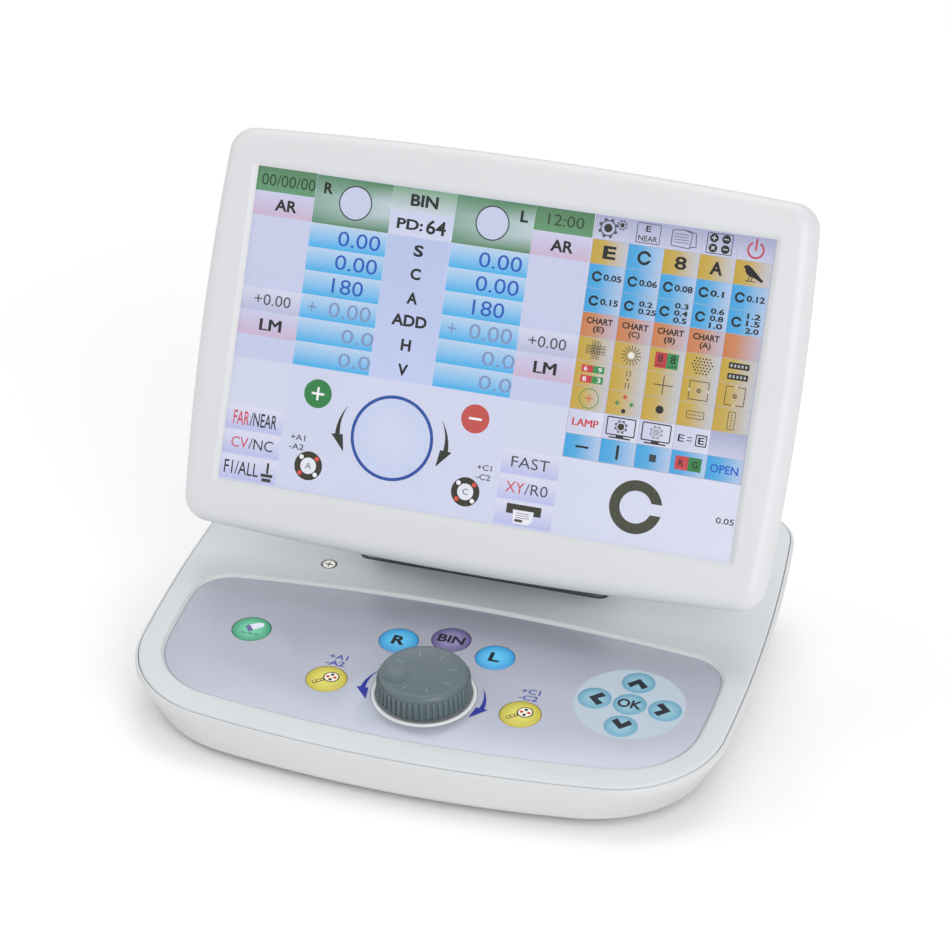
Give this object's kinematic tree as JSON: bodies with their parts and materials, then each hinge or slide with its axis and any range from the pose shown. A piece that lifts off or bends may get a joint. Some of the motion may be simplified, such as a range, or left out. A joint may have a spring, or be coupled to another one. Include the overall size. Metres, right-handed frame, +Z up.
{
  "type": "refraction control console",
  "caption": "Operator's desk console of a digital phoropter: wedge base with membrane keys and a rotary dial, and a tilting touch screen on a friction hinge.",
  "frame": {"origin": "on the table, under the middle of the bounding box", "axes": "+X to the user's right, +Y away from the user to the rear, +Z up"},
  "size_m": [0.2514, 0.2088, 0.2095],
  "materials": {
    "white_plastic": "fine satin moulding",
    "grey_plastic": "fine satin moulding",
    "silver_film": "satin metallic film",
    "polyester": "smooth sheet",
    "circuit_board": "solder mask",
    "steel": "plated",
    "brass": "turned",
    "slate_metal": "satin",
    "black_plastic": "moulded",
    "touch_glass": "polished",
    "lcd_panel": "smooth",
    "knob_plastic": "satin, ribbed side",
    "rubber": "matte",
    "sky": "printed cap",
    "purple": "printed cap",
    "yellow": "printed cap",
    "green": "printed cap",
    "teal": "printed cap"
  },
  "bodies": {
    "base": {"bottom_housing": "white_plastic", "top_cover": "grey_plastic", "keypad_overlay": "silver_film", "dome_sheet": "polyester", "keypad_board": "circuit_board", "knob_ring": "white_plastic", "encoder_body": "steel", "encoder_nut": "brass", "hinge_base": "slate_metal", "main_board": "circuit_board", "cover_screw": "steel", "base_screw_front_left": "steel", "base_screw_front_right": "steel", "base_screw_rear_left": "steel", "base_screw_rear_right": "steel", "foot_front_left": "rubber", "foot_front_right": "rubber", "foot_rear_left": "rubber", "foot_rear_right": "rubber", "connector_panel": "steel", "power_socket": "black_plastic", "head_socket": "steel", "data_socket": "steel"},
    "screen": {"screen_bezel": "white_plastic", "touch_glass": "touch_glass", "lcd_panel": "lcd_panel", "display_board": "circuit_board", "screen_rear_cover": "white_plastic", "screen_neck": "slate_metal", "tilt_shaft": "steel", "friction_washer_left": "steel", "friction_washer_right": "steel", "shaft_nut_left": "steel", "shaft_nut_right": "steel", "neck_screw_lower_left": "steel", "neck_screw_lower_right": "steel", "neck_screw_upper_left": "steel", "neck_screw_upper_right": "steel", "case_screw_lower_left": "steel", "case_screw_lower_right": "steel", "case_screw_upper_left": "steel", "case_screw_upper_right": "steel"},
    "dial": {"dial_knob": "knob_plastic", "encoder_shaft": "steel"},
    "key_right_eye": {"key_right_eye": "sky"},
    "key_both_eyes": {"key_both_eyes": "purple"},
    "key_left_eye": {"key_left_eye": "sky"},
    "key_cross_cylinder_left": {"key_cross_cylinder_left": "yellow"},
    "key_cross_cylinder_right": {"key_cross_cylinder_right": "yellow"},
    "key_erase": {"key_erase": "green"},
    "key_ok": {"key_ok": "teal"},
    "key_up": {"key_up": "teal"},
    "key_down": {"key_down": "teal"},
    "key_back": {"key_back": "teal"},
    "key_forward": {"key_forward": "teal"}
  },
  "joints": [
    {"name": "screen_tilt", "type": "hinge", "parent": "base", "child": "screen", "pos_m": [0, 0.03626, 0.0575], "axis": [1, 0, 0], "range_deg": [-30, 20]},
    {"name": "dial_spin", "type": "hinge", "parent": "base", "child": "dial", "pos_m": [0, -0.05965, 0.02335], "axis": [0, -0.1219, 0.9925], "continuous": true},
    {"name": "press_right_eye", "type": "slide", "parent": "base", "child": "key_right_eye", "axis": [0, 0.1219, -0.9925], "range_m": [0, 0.0004], "stiffness_N_per_m": 300},
    {"name": "press_both_eyes", "type": "slide", "parent": "base", "child": "key_both_eyes", "axis": [0, 0.1219, -0.9925], "range_m": [0, 0.0004], "stiffness_N_per_m": 300},
    {"name": "press_left_eye", "type": "slide", "parent": "base", "child": "key_left_eye", "axis": [0, 0.1219, -0.9925], "range_m": [0, 0.0004], "stiffness_N_per_m": 300},
    {"name": "press_cross_cylinder_left", "type": "slide", "parent": "base", "child": "key_cross_cylinder_left", "axis": [0, 0.1219, -0.9925], "range_m": [0, 0.0004], "stiffness_N_per_m": 300},
    {"name": "press_cross_cylinder_right", "type": "slide", "parent": "base", "child": "key_cross_cylinder_right", "axis": [0, 0.1219, -0.9925], "range_m": [0, 0.0004], "stiffness_N_per_m": 300},
    {"name": "press_erase", "type": "slide", "parent": "base", "child": "key_erase", "axis": [0, 0.1219, -0.9925], "range_m": [0, 0.0004], "stiffness_N_per_m": 300},
    {"name": "press_ok", "type": "slide", "parent": "base", "child": "key_ok", "axis": [0, 0.1219, -0.9925], "range_m": [0, 0.0004], "stiffness_N_per_m": 300},
    {"name": "press_up", "type": "slide", "parent": "base", "child": "key_up", "axis": [0, 0.1219, -0.9925], "range_m": [0, 0.0004], "stiffness_N_per_m": 300},
    {"name": "press_down", "type": "slide", "parent": "base", "child": "key_down", "axis": [0, 0.1219, -0.9925], "range_m": [0, 0.0004], "stiffness_N_per_m": 300},
    {"name": "press_back", "type": "slide", "parent": "base", "child": "key_back", "axis": [0, 0.1219, -0.9925], "range_m": [0, 0.0004], "stiffness_N_per_m": 300},
    {"name": "press_forward", "type": "slide", "parent": "base", "child": "key_forward", "axis": [0, 0.1219, -0.9925], "range_m": [0, 0.0004], "stiffness_N_per_m": 300}
  ]
}
